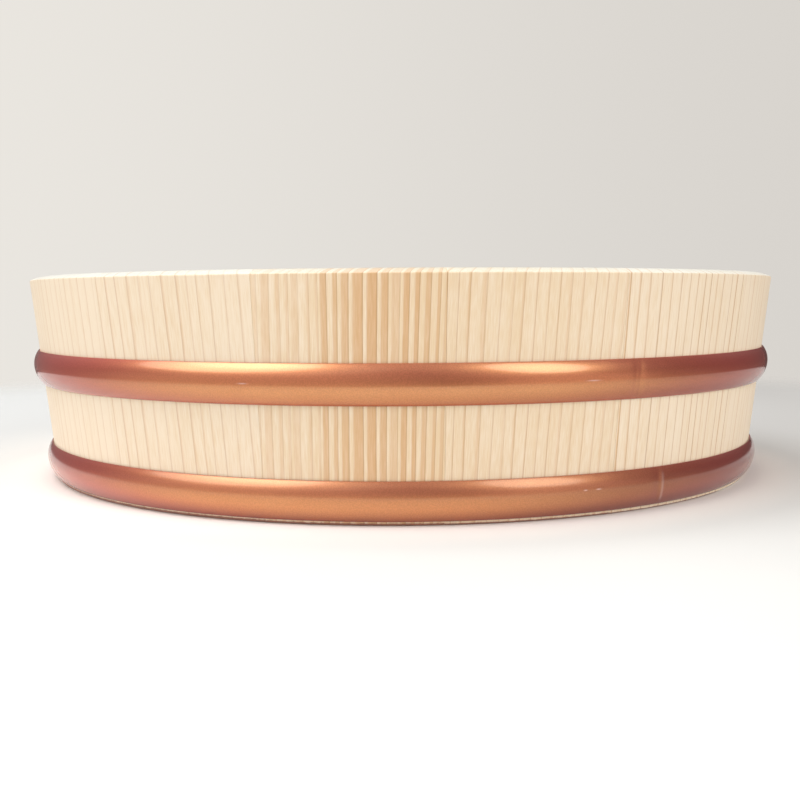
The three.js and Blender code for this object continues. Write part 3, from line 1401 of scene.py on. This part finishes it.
@dataclass(frozen=True)
class Softbox:
    """A soft round light that points at the tub."""

    name: str
    azimuth: float
    elevation: float
    width: float
    height: float
    power: float
    falls: Falls = Falls.EVERYTHING
    colour: tuple[float, float, float] = (1.0, 0.98, 0.95)
    distance: float = 1.5

    def build(self) -> None:
        """Hang the light."""
        lamp = bpy.data.lights.new(self.name, "AREA")
        lamp.shape = "ELLIPSE"
        lamp.size = self.width
        lamp.size_y = self.height
        lamp.energy = self.power
        lamp.color = self.colour
        azimuth, elevation = math.radians(self.azimuth), math.radians(self.elevation)
        flat = math.cos(elevation)
        way = Vector((math.sin(azimuth) * flat, -math.cos(azimuth) * flat, math.sin(elevation)))
        light = in_scene(self.name, lamp)
        aim = way.to_track_quat("Z", "Y").to_matrix().to_4x4()
        light.matrix_world = Matrix.Translation(way * self.distance) @ aim
        light.visible_glossy = self.falls is not Falls.UNMIRRORED
        light.visible_diffuse = self.falls is not Falls.GLOSS


@dataclass
class Studio:
    """The floor, the light round the tub and the camera."""

    paper: bpy.types.Material
    room: bpy.types.Material
    floor_size: float = 1.2
    left: Colour = (0.83, 0.80, 0.75, 1.0)
    right: Colour = (0.68, 0.65, 0.61, 1.0)
    near: Colour = (0.40, 0.38, 0.37, 1.0)
    sky: Colour = (0.55, 0.54, 0.53, 1.0)
    right_span: Span = (-0.5, 0.5)
    back_span: Span = (-0.4, 0.6)
    sky_span: Span = (0.3, 1.0)
    camera_place: tuple[float, float, float] = (-0.00038, -0.41555, 0.06175)
    camera_pitch: float = 84.61
    camera_roll: float = -0.33
    lens: float = 48.28
    sensor: float = 36.0
    screen_radius: float = 0.34
    screen_height: float = 0.06
    screen_place: tuple[float, float, float] = (0.02, 0.11, 0.03)
    screen_sides: int = 64
    room_radius: float = 4.0
    room_steps: int = 4
    lights: Sequence[Softbox] = (
        Softbox("left softbox", -62, 43, 1.36, 1.15, 8.3),
        Softbox("left core", -57, 52, 0.95, 0.75, 2.3, Falls.GLOSS),
        Softbox("left halo", -40, 42, 1.6, 1.2, 1.25, Falls.GLOSS),
        Softbox("right softbox", 44, 37.5, 0.66, 1.1, 5.4),
        Softbox("upper left softbox", -80, 76, 1.2, 1.2, 12.2, Falls.UNMIRRORED, (1.0, 0.99, 0.97)),
        Softbox("right fill", 62, 14, 0.9, 0.9, 3.8, Falls.UNMIRRORED),
        Softbox("left fill", -35, 25, 0.9, 0.9, 1.3, Falls.UNMIRRORED),
    )

    def build(self) -> None:
        """Set up the whole studio."""
        self.floor()
        self.dim_room()
        self.surroundings()
        for light in self.lights:
            light.build()
        self.camera()
        bpy.context.scene.view_settings.view_transform = "Standard"

    def stage(self, name: str, mesh: bmesh.types.BMesh, material: bpy.types.Material) -> bpy.types.Object:
        """Stand a mesh round the tub.

        Args:
            name: its name.
            mesh: its faces.
            material: its finish.

        Returns:
            The object.
        """
        data = bpy.data.meshes.new(name)
        mesh.to_mesh(data)
        mesh.free()
        data.materials.append(material)
        thing = in_scene(name, data)
        return thing

    def floor(self) -> None:
        """Lay the pale floor."""
        sheet = bmesh.new()
        bmesh.ops.create_grid(sheet, x_segments=1, y_segments=1, size=self.floor_size / 2)
        self.stage("floor", sheet, self.paper)

    def dim_room(self) -> None:
        """Set a low screen and a far shell round the tub, which show only in the gloss of the hoops."""
        screen = bmesh.new()
        sizes = {"radius1": self.screen_radius, "radius2": self.screen_radius, "depth": self.screen_height}
        bmesh.ops.create_cone(screen, segments=self.screen_sides, **sizes)
        bmesh.ops.translate(screen, verts=screen.verts, vec=self.screen_place)
        shell = bmesh.new()
        bmesh.ops.create_icosphere(shell, subdivisions=self.room_steps, radius=self.room_radius)
        for name, mesh in (("screen", screen), ("shell", shell)):
            thing = self.stage(name, mesh, self.room)
            for rays in ("camera", "diffuse", "transmission", "volume_scatter", "shadow"):
                setattr(thing, f"visible_{rays}", False)

    def surroundings(self) -> None:
        """Fill the room with soft light: pale behind the tub, dimmer towards the camera and above."""
        world = bpy.data.worlds.new("studio")
        bpy.context.scene.world = world
        world.use_nodes = True
        world.node_tree.nodes.clear()
        nodes = Nodes(world.node_tree)
        side, depth, height = nodes.node("ShaderNodeTexCoord").parts()
        back = nodes.mix(side.step(*self.right_span), self.left, self.right)
        level = nodes.mix(depth.step(*self.back_span), self.near, back)
        colour = nodes.mix(height.step(*self.sky_span), level, self.sky)
        nodes.end("ShaderNodeOutputWorld", nodes.node("ShaderNodeBackground", inputs={"Color": colour}))

    def camera(self) -> None:
        """Set up the camera."""
        data = bpy.data.cameras.new("camera")
        data.lens = self.lens
        data.sensor_width = self.sensor
        camera = in_scene("camera", data)
        pitch = Matrix.Rotation(math.radians(self.camera_pitch), 4, "X")
        roll = Matrix.Rotation(math.radians(self.camera_roll), 4, "Z")
        camera.matrix_world = Matrix.Translation(self.camera_place) @ pitch @ roll
        bpy.context.scene.camera = camera


def main() -> None:
    """Build the tub and the studio round it."""
    logging.basicConfig(level=logging.INFO, format="%(name)s: %(message)s")
    wall = Wall()
    wood = WoodFinish().material()
    Studio(PaperFinish().material(), RoomFinish().material()).build()
    StaveRing(wall, wood).build()
    Bottom(wall, wood).build()
    for hoop in (Hoop.upper(wall), Hoop.lower(wall)):
        hoop.build()
    Dowels(BambooFinish().material()).build()


if __name__ == "__main__":
    main()
